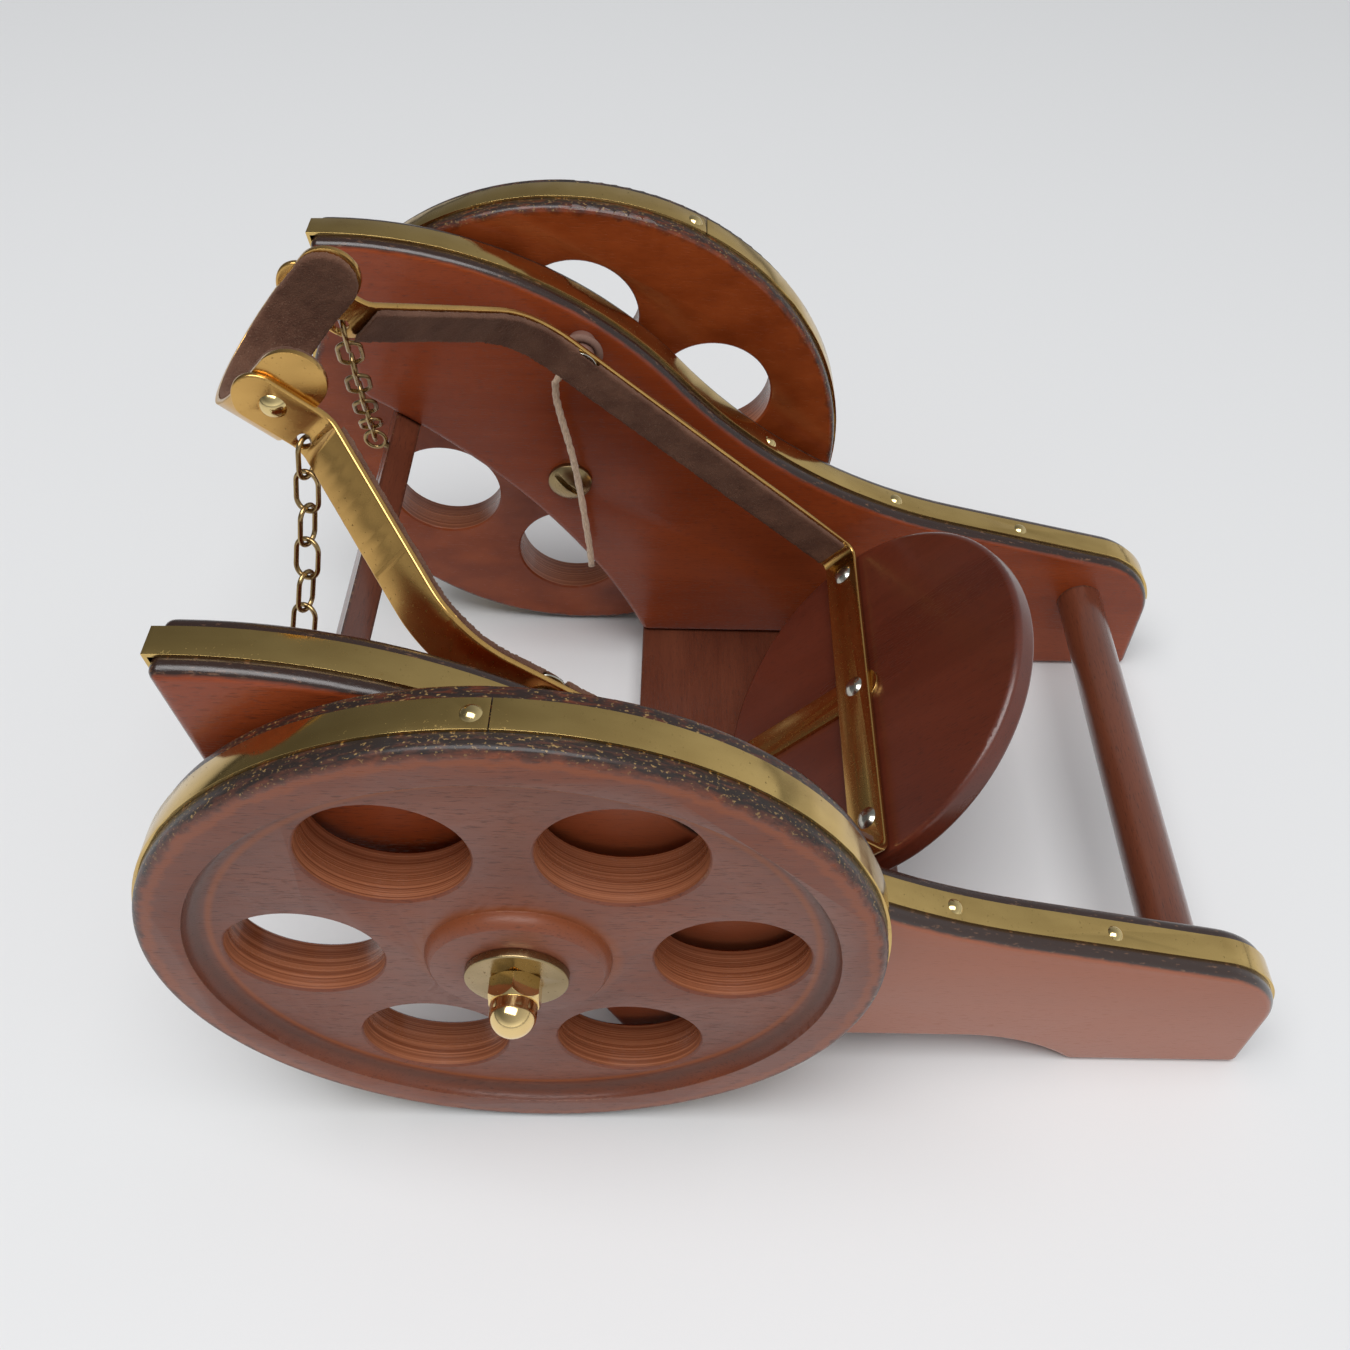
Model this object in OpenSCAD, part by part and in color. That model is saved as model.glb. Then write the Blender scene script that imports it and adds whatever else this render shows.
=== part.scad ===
// A bottle cradle built like a field-gun carriage. Two wooden cheeks stand between two spoked
// wheels, and a brass cradle tilts on trunnions between the cheeks: it holds a squat bottle
// by its base and neck. The front of the carriage points along -X and its left is -Y.

/* [Cheeks] */
// Distance between the inner faces of the two cheeks
cheek_gap = 119; // [108:0.5:145]
// Thickness of each wooden cheek
cheek_t = 13.5; // [9:0.5:18]
// Height of the cheek's front top corner
cheek_top_z = 147.3; // [135:0.1:165]
// Distance of the front top corner in front of the axle
cheek_front = 58.5; // [50:0.5:66]
// Radius of the round shoulder at the front of the top edge
shoulder_r = 110; // [90:1:130]
// Radius of the hollow sweep down the trail
trail_r = 155; // [130:1:180]
// Length of the straight top edge of the trail
trail_straight = 48.4; // [36:0.5:60]
// Radius of the rounded rear end
heel_r = 22; // [14:0.5:26]
// Length of the flat foot that stands on the table
foot_l = 43.5; // [30:0.5:55]
// Height of the straight bottom edge above the table
belly_z = 12.3; // [10:0.1:18]
// How far the front edge is hollowed from a straight line
front_hollow = 9.4; // [5:0.1:14]

/* [Wheels] */
// Radius of each wheel over its brass tyre
wheel_r = 75; // [68:0.5:82]
// Thickness of each wooden wheel
wheel_t = 14.5; // [10:0.5:18]
// Thickness of the brass strip on wheels and cheeks
strip_t = 0.8; // [0.5:0.1:1.2]
// Width of the brass strip on wheels and cheeks
strip_w = 6.5; // [4:0.1:8]
// Width of the raised rim of the wheel, seen from outside
rim_w = 9.2; // [7:0.1:12]
// Depth of the sunk face between rim and boss
web_sunk = 3.3; // [2:0.1:4.5]
// Radius of the boss at its foot
boss_r = 19; // [15:0.5:22]
// Number of round holes between the spokes
hole_count = 6; // [4:1:6]
// Radius of each round hole
hole_r = 16; // [10:0.5:17]

/* [Axles] */
// Radius of the bolt that each wheel turns on
axle_r = 3; // [2:0.1:4]
// Radial clearance of a turning part on its pin
running_gap = 0.05; // [0.02:0.01:0.1]
// Space left beside a turning part
side_play = 0.15; // [0.1:0.05:0.3]
// Thickness of the washer between cheek and wheel
spacer_t = 1.85; // [1:0.05:3]
// Width across the flats of the cap nut
nut_flats = 10; // [8:0.5:13]
// Height of the cap nut
nut_h = 11.5; // [9.5:0.5:13]
// How far the bolt runs into the cap nut
nut_grip = 8; // [5:0.1:8.2]

/* [Cradle] */
// Angle of the bottle at rest, neck up
rest_tilt = 41.93; // [38:0.1:46]
// Radius of the wooden disc under the bottle
disc_r = 49.3; // [44:0.1:50]
// Thickness of the wooden disc
disc_t = 6.5; // [5:0.1:9]
// Half the distance between the arms' centre planes
arm_y = 50; // [45:0.5:52]
// Distance of the trunnions from the disc's face
pivot_s = 98.3; // [90:0.1:110]
// Width of the brass cradle strap
arm_w = 9.5; // [7:0.1:12]
// Thickness of the brass cradle strap
arm_t = 1.5; // [1:0.1:2]
// Distance of the neck band's rear edge from the disc's face
neck_s = 157.7; // [150:0.1:175]
// Width of the neck band
neck_w = 12.7; // [9:0.1:14]
// Half the outer width of the neck band
neck_r = 17.5; // [15:0.1:22]
// Thickness of the neck band
neck_t = 1.2; // [0.8:0.1:1.6]
// How far the neck band stands to the left of the middle
neck_off = 5; // [0:0.5:5]
// Outward lean of the left arm between disc and trunnion, in degrees
left_splay = 3; // [0:0.5:3]
// Thickness of the suede linings
suede_t = 1.8; // [1.5:0.1:2.4]

/* [Chains] */
// Number of links in each chain
link_count = 9; // [7:1:11]
// Outer width of a link
link_w = 5.9; // [5:0.1:7]
// Diameter of the link wire
link_wire = 1; // [0.8:0.1:1.2]
// Radius of an eye's ring, to the middle of its wire
eye_r = 2.6; // [2.4:0.1:3]

/* [Hidden] */
$fn = 96;

// Hidden fits and small sizes
fit_gap = 0.05;          // clearance of a fixed pin in its hole
lap = 0.3;               // length by which a bend runs into what follows it
part_gap = 0.3;          // space between parts that move past each other
edge_r = 1.8;            // rounding of the wheel's corners
hole_break = 0.5;        // chamfer of the wheel's holes
pin_r = 1.9;             // radius of a round-headed pin's head
pin_h = 0.9;             // height of that head
pin_shank_r = 0.7;
pin_shank_l = 6;
fold_l = 5;              // how far the cheek band folds down over the front corner
front_tuck = [5.5, -45.4];   // from the front top corner down to the foot of the short front edge
belly_start = 19.5;      // where the hollow front edge meets the straight bottom edge
heel_hollow = 9.5;       // depth of the hollow from the bottom edge down to the foot
heel_run = 29;           // length of that hollow

function dir(a) = [cos(a), sin(a)];
function len2(v) = sqrt(v.x * v.x + v.y * v.y);
function unit(v) = v / norm(v);
function across(v) = [-v.y, v.x] / len2(v);

// A ribbon is drawn from a start [x, z, heading] by steps: [length, 0] runs straight and
// [radius, turn] bends, to the left where turn is positive.
function bend_centre(p, st) = [p.x, p.y] + st[0] * dir(p[2] + 90 * sign(st[1]));
function step_end(p, st) =
    st[1] == 0
    ? [p.x + st[0] * cos(p[2]), p.y + st[0] * sin(p[2]), p[2]]
    : let (q = bend_centre(p, st) + st[0] * dir(p[2] - 90 * sign(st[1]) + st[1]))
      [q.x, q.y, p[2] + st[1]];
function pose_after(start, steps, n) =
    n == 0 ? start : step_end(pose_after(start, steps, n - 1), steps[n - 1]);
function flat(p) = [p.x, p.y];

module ribbon(start, steps, low, high) {
    for (i = [0 : len(steps) - 1]) {
        p = pose_after(start, steps, i);
        q = pose_after(start, steps, i + 1);
        left_p = across(dir(p[2]));
        left_q = across(dir(q[2]));
        if (steps[i][1] == 0)
            polygon([flat(p) + low * left_p, flat(q) + low * left_q,
                     flat(q) + high * left_q, flat(p) + high * left_p]);
        else
            bend_sector(bend_centre(p, steps[i]), steps[i], p[2], low, high);
    }
}

// The part of a ring that one bend of a ribbon covers
module bend_sector(centre, st, heading, low, high) {
    side = sign(st[1]);
    radii = [st[0] - side * low, st[0] - side * high];
    first = heading - 90 * side;
    reach = 2 * max(radii);
    over = side * lap / st[0] * 180 / PI;
    intersection() {
        translate(centre) difference() {
            circle(max(radii), $fn = 256);
            circle(min(radii), $fn = 256);
        }
        polygon([centre, centre + reach * dir(first - over),
                 centre + reach * dir(first + st[1] / 2),
                 centre + reach * dir(first + st[1] + over)]);
    }
}

// Points round an arc, one every two degrees or less
function arc_points(centre, r, from, to) =
    let (n = ceil(abs(to - from) / 2))
    [for (i = [0 : n]) centre + r * dir(from + (to - from) * i / n)];
function angle_of(v) = atan2(v.y, v.x);

// Points of an edge that follows steps, set off to its left
function edge_points(start, steps, off = 0) =
    [for (i = [0 : len(steps) - 1])
        let (p = pose_after(start, steps, i), st = steps[i], side = sign(st[1]))
        each st[1] == 0
            ? [flat(p) + off * dir(p[2] + 90)]
            : arc_points(bend_centre(p, st), st[0] - side * off, p[2] - 90 * side,
                         p[2] - 90 * side + st[1])];

// Centre of the arc from p to q that rises by sag to the left of the line between them
function arc_centre(p, q, sag) =
    let (half = norm(q - p) / 2, r = (half * half + sag * sag) / (2 * sag))
    (p + q) / 2 + (sag - r) * across(q - p);

// Stands a side profile, drawn in x and z, up between two values of y
module between_y(y0, y1) {
    translate([0, y1, 0]) rotate([90, 0, 0]) linear_extrude(y1 - y0) children();
}

// Turns what is drawn along +Z so that it points along +Y
module along_y() {
    rotate([-90, 0, 0]) children();
}

// side is 1 for the right and -1 for the left
module on_side(side) {
    mirror([0, side < 0 ? 1 : 0, 0]) children();
}

// ---- side profile of the cheeks, x from the axle and z from the table ----
axle_z = wheel_r;
cheek_in = cheek_gap / 2;
cheek_out = cheek_in + cheek_t;
top_start = [-cheek_front, cheek_top_z, 2];
top_steps = [[shoulder_r, -52], [trail_r, 36], [trail_straight, 0], [heel_r, -76]];
top = [for (i = [0 : 4]) flat(pose_after(top_start, top_steps, i))];
rear_x = top[4].x;
front_foot = top[0] + front_tuck;
belly_front = [belly_start, belly_z];
foot_front = [rear_x - foot_l, 0];
belly_rear = [foot_front.x - heel_run, belly_z];
front_centre = arc_centre(belly_front, front_foot, -front_hollow);
heel_centre = arc_centre(belly_rear, foot_front, 3.2);

// The whole model is centred on its bounding box
centre_x = (rear_x - wheel_r) / 2;
module in_frame() {
    translate([-centre_x, 0, 0]) children();
}

// ---- the cradle's own frame: -x towards the neck, z up across the arms, origin on the disc ----
disc_point = [78.4, 55.3];
function cradle_point(s, y, t) =
    [disc_point.x - s * cos(rest_tilt) + t * sin(rest_tilt), y,
     disc_point.y + s * sin(rest_tilt) + t * cos(rest_tilt)];
pivot = cradle_point(pivot_s, 0, 0);
module in_cradle() {
    in_frame() translate([disc_point.x, 0, disc_point.y]) rotate([0, rest_tilt, 0]) children();
}

// ---- pins and screws ----
// Round head with a short shank below it, standing on z = 0
module round_pin(head_r, head_h, shank_r, shank_l) {
    ball_r = (head_r * head_r + head_h * head_h) / (2 * head_h);
    rotate_extrude() {
        intersection() {
            translate([0, head_h - ball_r]) circle(ball_r, $fn = 128);
            square([head_r + 1, head_h]);
        }
        translate([0, -shank_l]) square([shank_r, shank_l + head_h / 2]);
    }
}

// ---- cheeks ----
module cheek_outline() {
    front_way = angle_of(belly_front - front_centre);
    heel_way = angle_of(foot_front - heel_centre);
    polygon(concat(
        edge_points(top_start, top_steps),
        [[rear_x, 0]],
        arc_points(heel_centre, norm(foot_front - heel_centre), heel_way,
                   angle_of(belly_rear - heel_centre)),
        arc_points(front_centre, norm(belly_front - front_centre), front_way,
                   angle_of(front_foot - front_centre))
    ));
}

band_in = cheek_in + (cheek_t - strip_w) / 2;
pin_turns = [13, 29];        // places of two pins along the hollow sweep, in degrees of its turn
trunnion_r = 2.5;
trunnion_depth = 9;          // how far the trunnion screw runs into the cheek
slat_pin_l = 6;

module cheek(side) {
    color("sienna") in_frame() on_side(side) difference() {
        between_y(cheek_in, cheek_out) cheek_outline();
        translate([0, cheek_in - 1, axle_z]) along_y() cylinder(h = cheek_t + 2, r = axle_r + fit_gap);
        translate([pivot.x, cheek_in - 1, pivot.z]) along_y()
            cylinder(h = trunnion_depth + 1 + fit_gap, r = trunnion_r + fit_gap);
        for (at = pin_places)
            pin_at(at) translate([0, 0, -pin_shank_l - fit_gap])
                cylinder(h = pin_shank_l + 2, r = pin_shank_r + fit_gap, $fn = 32);
    }
}
module left_cheek() { cheek(-1); }
module right_cheek() { cheek(1); }

// Each pin of the band: [x, z, heading of the edge there]
pin_places = [
    step_end(pose_after(top_start, top_steps, 1), [trail_r, pin_turns[0]]),
    step_end(pose_after(top_start, top_steps, 1), [trail_r, pin_turns[1]]),
    step_end(pose_after(top_start, top_steps, 2), [0.43 * trail_straight, 0])
];
module pin_at(at) {
    translate([at.x, cheek_in + cheek_t / 2, at.y]) rotate([0, -at[2], 0]) children();
}

// ---- brass bands on the cheeks ----
// It folds over the front corner, follows the top edge and ends round the heel.
band_steps = [top_steps[0], top_steps[1], top_steps[2], [heel_r, -68]];
module band_profile() {
    fold_way = unit(front_tuck);
    fold_out = -across(front_tuck);
    corner = top[0] + strip_t * (fold_out + dir(92)) / (1 + fold_out * dir(92));
    inner = edge_points(top_start, band_steps);
    polygon(concat(
        [top[0] + fold_l * fold_way, top[0] + fold_l * fold_way + strip_t * fold_out, corner],
        edge_points(top_start, band_steps, strip_t),
        [for (i = [len(inner) - 1 : -1 : 0]) inner[i]]
    ));
}

module cheek_band(side) {
    color("darkkhaki") in_frame() on_side(side) difference() {
        between_y(band_in, band_in + strip_w) band_profile();
        for (at = pin_places)
            pin_at(at) translate([0, 0, -1]) cylinder(h = strip_t + 2, r = pin_shank_r + fit_gap, $fn = 32);
    }
}
module left_cheek_band() { cheek_band(-1); }
module right_cheek_band() { cheek_band(1); }

module band_pins(side) {
    color("goldenrod") in_frame() on_side(side)
        for (i = [0 : len(pin_places) - 1]) {
            // Two pins stand on the middle of a facet of the hollow sweep, a little above its arc
            rise = i < len(pin_turns) ? trail_r * (1 - cos(1)) : 0;
            pin_at(pin_places[i]) translate([0, 0, strip_t + rise])
                round_pin(pin_r, pin_h, pin_shank_r, pin_shank_l + strip_t);
        }
}
module left_band_pins() { band_pins(-1); }
module right_band_pins() { band_pins(1); }

// ---- cross pieces that join the cheeks ----
slat_l = 7;
slat_t = 3.6;
slat_from = 9.7;             // from the front edge's corner, along the hollow, to the slat
front_r = norm(front_foot - front_centre);
front_angle = atan2(front_foot.y - front_centre.y, front_foot.x - front_centre.x);
function on_front(d) = front_centre + front_r * cos(1) * dir(front_angle - d / front_r * 180 / PI);
slat_top = on_front(slat_from);
slat_end = on_front(slat_from + slat_l);
slat_run = unit(slat_end - slat_top);
slat_up = across(slat_run);

module front_slat() {
    color("saddlebrown") in_frame() difference() {
        between_y(-cheek_out, cheek_out)
            polygon([slat_top, slat_end, slat_end - slat_t * slat_up, slat_top - slat_t * slat_up]);
        for (side = [-1, 1])
            eye_frame(side) translate([0, 0, -eye_shank_l - fit_gap])
                cylinder(h = eye_shank_l + 2, r = eye_shank_r + fit_gap, $fn = 32);
    }
}

board_t = 6.3;
board_l = 72;
module base_board() {
    board_end = cheek_in + cheek_t / 2;
    color("saddlebrown") in_frame()
        between_y(-board_end, board_end)
            translate([belly_start, belly_z - board_t]) square([board_l, board_t]);
}

dowel_r = 6.5;
dowel_from_rear = 21.7;
dowel_z = 30.1;
module rear_dowel() {
    color("saddlebrown") in_frame() translate([rear_x - dowel_from_rear, -cheek_in, dowel_z])
        along_y() cylinder(h = cheek_gap, r = dowel_r);
}

// ---- axles ----
head_r = 6;
head_h = 3.6;
wheel_in = cheek_out + spacer_t + side_play;
wheel_out = wheel_in + wheel_t;
washer_t = 1.8;
washer_r = 10.5;
washer_in = wheel_out + side_play;
nut_in = washer_in + washer_t;
axle_l = nut_in + nut_grip - cheek_in;

module at_axle(side, y) {
    in_frame() on_side(side) translate([0, y, axle_z]) along_y() children();
}

// Pan-headed bolt: its domed, slotted head sits on the cheek's inner face
module axle_bolt(side) {
    dome_r = 9;
    color("darkkhaki") at_axle(side, cheek_in) {
        difference() {
            rotate_extrude() {
                intersection() {
                    translate([0, dome_r - head_h]) circle(dome_r, $fn = 128);
                    translate([0, -head_h]) square([head_r, head_h]);
                }
            }
            rotate([0, 0, 45]) translate([-head_r - 1, -0.8, -head_h - 1]) cube([2 * head_r + 2, 1.6, 2.7]);
        }
        cylinder(h = axle_l, r = axle_r);
    }
}
module left_axle_bolt() { axle_bolt(-1); }
module right_axle_bolt() { axle_bolt(1); }

module spacer_washer(side) {
    color("darkkhaki") at_axle(side, cheek_out) difference() {
        cylinder(h = spacer_t, r = 8.5);
        translate([0, 0, -1]) cylinder(h = spacer_t + 2, r = axle_r + fit_gap);
    }
}
module left_spacer_washer() { spacer_washer(-1); }
module right_spacer_washer() { spacer_washer(1); }

module axle_washer(side) {
    soft = 0.4;
    color("goldenrod") at_axle(side, washer_in) rotate_extrude() difference() {
        union() {
            translate([axle_r + fit_gap, 0]) square([washer_r - soft - axle_r - fit_gap, washer_t]);
            translate([axle_r + fit_gap, 0]) square([washer_r - axle_r - fit_gap, washer_t - soft]);
            translate([washer_r - soft, washer_t - soft]) circle(soft, $fn = 48);
        }
    }
}
module left_axle_washer() { axle_washer(-1); }
module right_axle_washer() { axle_washer(1); }

// Cap nut: chamfered hexagon, short neck and round cap over a blind hole
module axle_nut(side) {
    corner_r = nut_flats / sqrt(3);
    hex_h = 0.43 * nut_h;
    corner_h = hex_h - 1.1;
    dome_r = nut_flats * 0.475;
    color("gold") at_axle(side, nut_in) difference() {
        union() {
            intersection() {
                rotate([0, 0, 30]) cylinder(h = hex_h, r = corner_r, $fn = 6);
                rotate_extrude() polygon([[0, 0], [nut_flats / 2, 0], [corner_r, 0.5],
                    [corner_r, corner_h], [nut_flats / 2, hex_h], [0, hex_h]]);
            }
            rotate_extrude() {
                square([dome_r, nut_h - dome_r]);
                intersection() {
                    translate([0, nut_h - dome_r]) circle(dome_r);
                    translate([0, nut_h - dome_r - 1]) square([dome_r, dome_r + 1]);
                }
            }
        }
        translate([0, 0, -1]) cylinder(h = nut_grip + 1 + fit_gap, r = axle_r + fit_gap);
    }
}
module left_axle_nut() { axle_nut(-1); }
module right_axle_nut() { axle_nut(1); }

// ---- wheels ----
wood_r = wheel_r - strip_t;
function hole_phase(side) = side < 0 ? 0 : -26;      // the two wheels stand at different turns
module wheel(side) {
    inner_r = wood_r - rim_w;
    hole_ring = (inner_r - web_sunk + boss_r) / 2 + 3;
    boss_bulge = web_sunk + 0.9;
    color("rosybrown") at_axle(side, wheel_in) difference() {
        rotate_extrude($fn = 180) difference() {
            union() {
                square([wood_r - edge_r, wheel_t]);
                translate([0, edge_r]) square([wood_r, wheel_t - 2 * edge_r]);
                translate([wood_r - edge_r, edge_r]) circle(edge_r, $fn = 64);
                translate([wood_r - edge_r, wheel_t - edge_r]) circle(edge_r, $fn = 64);
            }
            difference() {
                union() {
                    translate([boss_r - boss_bulge / 2, wheel_t - web_sunk])
                        square([inner_r - web_sunk - boss_r + boss_bulge / 2, web_sunk + 1]);
                    translate([inner_r - web_sunk, wheel_t]) circle(web_sunk, $fn = 64);
                }
                translate([boss_r - boss_bulge, wheel_t - web_sunk]) circle(boss_bulge, $fn = 64);
            }
        }
        translate([0, 0, -1]) cylinder(h = wheel_t + 2, r = axle_r + running_gap);
        for (i = [0 : hole_count - 1]) {
            rotate([0, 0, 360 / hole_count * i + hole_phase(side)]) translate([hole_ring, 0, 0]) {
                translate([0, 0, -1]) cylinder(h = wheel_t + 2, r = hole_r);
                translate([0, 0, -1]) cylinder(h = 1 + hole_break, r1 = hole_r + hole_break + 1, r2 = hole_r);
                translate([0, 0, wheel_t - web_sunk - hole_break])
                    cylinder(h = 1 + hole_break, r1 = hole_r, r2 = hole_r + hole_break + 1);
            }
        }
    }
}
module left_wheel() { wheel(-1); }
module right_wheel() { wheel(1); }

tyre_in = (wheel_t - strip_w) / 2;
function tyre_pin_angle(side) = side < 0 ? -91.5 : -63.5;   // from the rear, by way of the table
module tyre(side) {
    color("darkkhaki") at_axle(side, wheel_in + tyre_in) difference() {
        rotate_extrude($fn = 180) translate([wood_r, 0]) square([strip_t, strip_w]);
        rotate([0, 0, tyre_pin_angle(side)]) translate([wood_r - 2, 3, -1]) cube([5, 0.25, strip_w + 2]);
        rotate([0, 0, tyre_pin_angle(side)]) translate([0, 0, strip_w / 2]) rotate([0, 90, 0])
            cylinder(h = wheel_r + 2, r = pin_shank_r + fit_gap, $fn = 32);
    }
}
module left_tyre() { tyre(-1); }
module right_tyre() { tyre(1); }

module tyre_pin(side) {
    color("goldenrod") at_axle(side, wheel_in + tyre_in + strip_w / 2)
        rotate([0, 0, tyre_pin_angle(side)]) translate([wheel_r, 0, 0]) rotate([0, 90, 0])
            round_pin(pin_r, pin_h, pin_shank_r, strip_t - 0.05);
}
module left_tyre_pin() { tyre_pin(-1); }
module right_tyre_pin() { tyre_pin(1); }

// ---- trunnions ----
trunnion_head_r = 4.5;
trunnion_head_t = 0.5;
spacer_out_r = 3.6;
// Space from an arm's middle to a flat face of radius r that the leaning arm turns against
function arm_clear(side, r) = arm_t / 2 / cos(splay(side)) + r * tan(splay(side)) + part_gap;
function trunnion_head_y(side) = pivot_y(side) - arm_clear(side, trunnion_head_r);
function spacer_in_y(side) = pivot_y(side) + arm_clear(side, spacer_out_r);
module at_pivot(side, y) {
    in_frame() on_side(side) translate([pivot.x, y, pivot.z]) along_y() children();
}

module trunnion_screw(side) {
    color("silver") at_pivot(side, trunnion_head_y(side)) {
        translate([0, 0, -trunnion_head_t]) cylinder(h = trunnion_head_t, r = trunnion_head_r);
        cylinder(h = cheek_in + trunnion_depth - trunnion_head_y(side), r = trunnion_r);
    }
}
module left_trunnion_screw() { trunnion_screw(-1); }
module right_trunnion_screw() { trunnion_screw(1); }

module trunnion_spacer(side) {
    color("wheat") at_pivot(side, spacer_in_y(side)) difference() {
        cylinder(h = cheek_in - spacer_in_y(side), r = spacer_out_r);
        translate([0, 0, -1]) cylinder(h = cheek_in - spacer_in_y(side) + 2, r = trunnion_r + fit_gap);
    }
}
module left_trunnion_spacer() { trunnion_spacer(-1); }
module right_trunnion_spacer() { trunnion_spacer(1); }

// ---- cradle: disc, straps and screws ----
disc_edge_r = 1.5;
module cradle_disc() {
    color("sienna") in_cradle() rotate([0, 90, 0]) difference() {
        rotate_extrude($fn = 180) {
            square([disc_r - disc_edge_r, disc_t]);
            translate([0, disc_edge_r]) square([disc_r, disc_t - 2 * disc_edge_r]);
            translate([disc_r - disc_edge_r, disc_edge_r]) circle(disc_edge_r, $fn = 48);
            translate([disc_r - disc_edge_r, disc_t - disc_edge_r]) circle(disc_edge_r, $fn = 48);
        }
        for (y = screw_ys)
            translate([0, y, -1]) cylinder(h = screw_l + 1 + fit_gap, r = screw_r + fit_gap, $fn = 48);
    }
}

lower_t = 1.2;
strap_lift = lower_t + arm_t / 2;   // from the disc's face to the middle of the cross strap
chain_hole_s = neck_s - 1.9;
chain_hole_edge = 1.95;      // from that hole to the arm's lower edge
chain_hole_t = chain_hole_edge - arm_w / 2;
chain_hole_r = 1.4;
bend_r = 3;                  // bends of the strap beside the disc's edge, to its middle
s_bend_r = 25;               // the two bends that draw the arms in to the neck band
s_end = chain_hole_s - chain_hole_r - 1;
arm_end_s = neck_s + neck_w + 1.5;

// The two arms differ a little: the left one leans outward, the right one turns in more sharply.
function splay(side) = side < 0 ? left_splay : 0;
function s_turn(side) = side < 0 ? 50 : 56;
function arm_end_y(side) = neck_r + arm_t / 2 - side * neck_off;

// Where the first bend ends, as [y, distance from the disc], and what is left from there on
function arm_foot(side) = [arm_y - bend_r, strap_lift + bend_r] + bend_r * dir(-splay(side));
function arm_rest(side) =
    [arm_end_y(side), s_end] - arm_foot(side)
    + s_bend_r * [1 + cos(splay(side)) - 2 * cos(s_turn(side)), -sin(splay(side)) - 2 * sin(s_turn(side))];
function arm_straight(side) =
    arm_rest(side) * dir(s_turn(side)) / sin(splay(side) + s_turn(side));
function s_straight(side) =
    (arm_rest(side).y * sin(splay(side)) - arm_rest(side).x * cos(splay(side)))
    / sin(splay(side) + s_turn(side));
function arm_steps(side) = [
    [arm_y - bend_r, 0], [bend_r, 90 - splay(side)], [arm_straight(side), 0],
    [s_bend_r, s_turn(side) + splay(side)], [s_straight(side), 0], [s_bend_r, -s_turn(side)],
    [arm_end_s - s_end, 0]
];
// Middle of the arm at the trunnion
function pivot_y(side) = arm_foot(side).x + (pivot_s - arm_foot(side).y) * tan(splay(side));

// Lays a drawing with y across and distance from the disc upwards into the cradle's frame,
// centred on the arms' width
module across_arm(width) {
    translate([0, 0, -width / 2]) linear_extrude(width) rotate(90) children();
}

rivet_s = neck_s + neck_w / 2;
rivet_r = 1.2;
screw_ys = [-39, 1.5, 42];
screw_r = 1.5;
screw_l = 5.5;

module strap_half(side) {
    difference() {
        across_arm(arm_w) ribbon([0, strap_lift, 0], arm_steps(side), -arm_t / 2, arm_t / 2);
        translate([-arm_end_s, arm_end_y(side) - arm_t, 0]) along_y() linear_extrude(2 * arm_t) difference() {
            translate([-1, -arm_w / 2 - 1]) square([arm_w / 2 + 1, arm_w + 2]);
            translate([arm_w / 2, 0]) circle(arm_w / 2);
        }
    }
}

module cradle_strap() {
    color("darkkhaki") in_cradle() difference() {
        for (side = [-1, 1])
            on_side(side) strap_half(side);
        for (side = [-1, 1]) {
            on_side(side) {
                translate([-pivot_s, pivot_y(side) - 5, 0]) along_y()
                    cylinder(h = 10, r = trunnion_r + running_gap);
                translate([-chain_hole_s, arm_end_y(side) - 5, chain_hole_t]) along_y()
                    cylinder(h = 10, r = chain_hole_r);
                translate([-rivet_s, arm_end_y(side) - 5, 0]) along_y()
                    cylinder(h = 10, r = rivet_r + fit_gap);
            }
        }
        for (y = screw_ys)
            translate([-lower_t - arm_t - 1, y, 0]) rotate([0, 90, 0]) cylinder(h = arm_t + 2, r = screw_r + fit_gap);
    }
}

module strap_screws() {
    color("silver") in_cradle()
        for (y = screw_ys)
            translate([-lower_t - arm_t, y, 0]) rotate([0, -90, 0])
                round_pin(2.8, 1.2, screw_r, screw_l + lower_t + arm_t);
}

// The lower strap runs from its round end, under the cross strap, down to the disc's rim
lower_up = 6.6;              // how far its round end reaches above the middle screw
lower_y = 1.5;
lower_lip = 7;
module lower_strap() {
    color("darkkhaki") in_cradle() difference() {
        union() {
            translate([-lower_t, lower_y, lower_up - arm_w / 2]) rotate([0, 90, 0]) cylinder(h = lower_t, r = arm_w / 2);
            translate([-lower_t, lower_y - arm_w / 2, -disc_r]) cube([lower_t, arm_w, disc_r + lower_up - arm_w / 2]);
            translate([-lower_t - lower_lip, lower_y - arm_w / 2, -disc_r])
                cube([lower_lip + lower_t, arm_w, lower_t]);
        }
        translate([-lower_t - 1, screw_ys[1], 0]) rotate([0, 90, 0]) cylinder(h = lower_t + 2, r = screw_r + fit_gap);
    }
}

// ---- neck band: a U of brass with round-ended uprights, riveted to the arms ----
neck_up = 12.5;
module u_shape(r, top) {
    circle(r, $fn = 128);
    translate([-r, 0]) square([2 * r, top]);
}

module neck_shape(low, high, top) {
    intersection() {
        translate([-neck_s - neck_w, 0, 0]) rotate([90, 0, 90]) linear_extrude(neck_w) {
            difference() {
                u_shape(high, top);
                u_shape(low, top + 1);
            }
        }
        rotate([90, 0, 0]) translate([0, 0, -high - 1]) linear_extrude(2 * high + 2) {
            translate([-neck_s - neck_w / 2, top - neck_w / 2]) circle(neck_w / 2);
            translate([-neck_s - neck_w, -high - 1]) square([neck_w, high + 1 + top - neck_w / 2]);
        }
    }
}

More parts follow.
